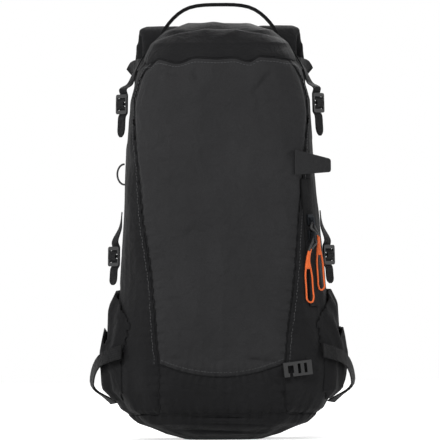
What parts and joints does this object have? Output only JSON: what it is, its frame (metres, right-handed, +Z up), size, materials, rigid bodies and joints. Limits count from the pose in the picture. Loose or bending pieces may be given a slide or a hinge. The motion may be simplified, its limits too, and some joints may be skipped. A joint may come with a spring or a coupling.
{
  "type": "avalanche airbag backpack",
  "caption": "Ski touring backpack with an electric fan airbag unit under the hood, a pull trigger on the left shoulder strap, hip wings, side pockets and a two-way main zip.",
  "frame": {"origin": "centre of the flat foot of the base", "axes": "+Z up along the pack, -Y out of the front panel, +Y towards the wearer, +X to the wearer's right"},
  "size_m": [0.3616, 0.3926, 0.595],
  "materials": {
    "shell_cloth": "matte woven nylon",
    "dark_cloth": "matte coated nylon",
    "stretch_cloth": "matte stretch cloth",
    "pad_mesh": "matte spacer mesh over foam",
    "webbing": "woven webbing",
    "acetal": "moulded acetal, satin",
    "orange_cord": "braided cord",
    "orange_plastic": "moulded, satin",
    "elastic_cord": "sheathed elastic",
    "zip_tape": "coated zip",
    "zinc": "plated zinc, satin",
    "sheet_plastic": "pressed polyethylene",
    "alloy": "drawn, satin",
    "case_plastic": "moulded",
    "fan_plastic": "moulded",
    "motor_steel": "turned",
    "board": "lacquered",
    "cell_wrap": "shrink sleeve",
    "balloon_cloth": "coated airbag nylon"
  },
  "bodies": {
    "bag": {"airbag_balloon": "balloon_cloth", "back_pad": "pad_mesh", "base_tub": "dark_cloth", "battery_pack": "cell_wrap", "control_board": "board", "elastic_loop": "elastic_cord", "fan_motor": "motor_steel", "frame_sheet": "sheet_plastic", "frame_stay": "alloy", "front_panel": "shell_cloth", "haul_handle": "webbing", "load_lifter_left": "webbing", "load_lifter_right": "webbing", "lower_side_lock_left": "acetal", "lower_side_lock_right": "acetal", "lower_side_strap_left": "webbing", "lower_side_strap_right": "webbing", "main_zip": "zip_tape", "rear_panel": "stretch_cloth", "shoulder_lock_left": "acetal", "shoulder_lock_right": "acetal", "shoulder_strap_left": "pad_mesh", "shoulder_strap_right": "pad_mesh", "shoulder_webbing_left": "webbing", "shoulder_webbing_right": "webbing", "side_panel_left": "dark_cloth", "side_panel_right": "dark_cloth", "side_pocket_left": "stretch_cloth", "side_pocket_right": "stretch_cloth", "ski_hook": "acetal", "ski_loop_left": "webbing", "ski_loop_right": "webbing", "top_hood": "shell_cloth", "trigger_cable": "elastic_cord", "trigger_socket": "acetal", "unit_case": "case_plastic", "unit_cover": "case_plastic", "upper_side_lock_left": "acetal", "upper_side_lock_right": "acetal", "upper_side_strap_left": "webbing", "upper_side_strap_right": "webbing"},
    "impeller": {"fan_impeller": "fan_plastic"},
    "door": {"battery_door": "case_plastic"},
    "switch": {"power_switch": "orange_plastic"},
    "trigger": {"trigger_handle": "orange_plastic"},
    "sternum_right": {"sternum_webbing_right": "webbing", "sternum_clip": "acetal"},
    "sternum_left": {"sternum_webbing_left": "webbing", "sternum_socket": "acetal"},
    "hip_right": {"hip_wing_right": "pad_mesh", "hip_webbing_right": "webbing", "hip_clip_right": "alloy"},
    "hip_left": {"hip_wing_left": "pad_mesh", "hip_webbing_left": "webbing", "hip_buckle_left": "alloy"},
    "tab": {"axe_tab": "shell_cloth"},
    "slider_upper": {"zip_slider_upper": "zinc"},
    "slider_lower": {"zip_slider_lower": "zinc"},
    "pull_upper": {"zip_pull_upper": "orange_cord"},
    "pull_lower": {"zip_pull_lower": "orange_cord"}
  },
  "joints": [
    {"name": "impeller_spin", "type": "hinge", "parent": "bag", "child": "impeller", "pos_m": [0, 0.041, 0.39903], "axis": [0, 1, 0], "continuous": true},
    {"name": "battery_door_hinge", "type": "hinge", "parent": "bag", "child": "door", "pos_m": [0, 0.0186, 0.22953], "axis": [1, 0, 0], "range_deg": [0, 90]},
    {"name": "power_switch_turn", "type": "hinge", "parent": "bag", "child": "switch", "pos_m": [0.034, 0.0182, 0.31303], "axis": [0, 1, 0], "range_deg": [0, 90]},
    {"name": "trigger_pull", "type": "slide", "parent": "bag", "child": "trigger", "axis": [-0.0372, -0.0045, -0.9993], "range_m": [0, 0.02], "stiffness_N_per_m": 150},
    {"name": "sternum_right_swing", "type": "hinge", "parent": "bag", "child": "sternum_right", "pos_m": [0.08444, 0.16973, 0.36625], "axis": [0.4382, 0.8962, -0.0689], "range_deg": [0, 90]},
    {"name": "sternum_left_swing", "type": "hinge", "parent": "bag", "child": "sternum_left", "pos_m": [-0.08444, 0.16973, 0.36625], "axis": [-0.4382, 0.8962, -0.0689], "range_deg": [-90, 0]},
    {"name": "hip_right_swing", "type": "hinge", "parent": "bag", "child": "hip_right", "pos_m": [0.1, 0.1044, 0.106], "axis": [0, 0, 1], "range_deg": [-20, 30]},
    {"name": "hip_left_swing", "type": "hinge", "parent": "bag", "child": "hip_left", "pos_m": [-0.1, 0.1044, 0.106], "axis": [0, 0, 1], "range_deg": [-30, 20]},
    {"name": "axe_tab_fold", "type": "hinge", "parent": "bag", "child": "tab", "pos_m": [0.101, -0.08517, 0.37469], "axis": [0, 0, 1], "range_deg": [-60, 10]},
    {"name": "zip_upper_slide", "type": "slide", "parent": "bag", "child": "slider_upper", "axis": [-0.06, 0.0617, 0.9963], "range_m": [0, 0.045]},
    {"name": "zip_lower_slide", "type": "slide", "parent": "bag", "child": "slider_lower", "axis": [-0.06, 0.0617, 0.9963], "range_m": [-0.06, 0]},
    {"name": "zip_pull_upper_swing", "type": "hinge", "parent": "slider_upper", "child": "pull_upper", "pos_m": [0.12384, -0.07908, 0.29163], "axis": [0.6634, 0.7482, 0], "range_deg": [-90, 0]},
    {"name": "zip_pull_lower_swing", "type": "hinge", "parent": "slider_lower", "child": "pull_lower", "pos_m": [0.12507, -0.08034, 0.27126], "axis": [0.6634, 0.7482, 0], "range_deg": [-90, 0]}
  ]
}
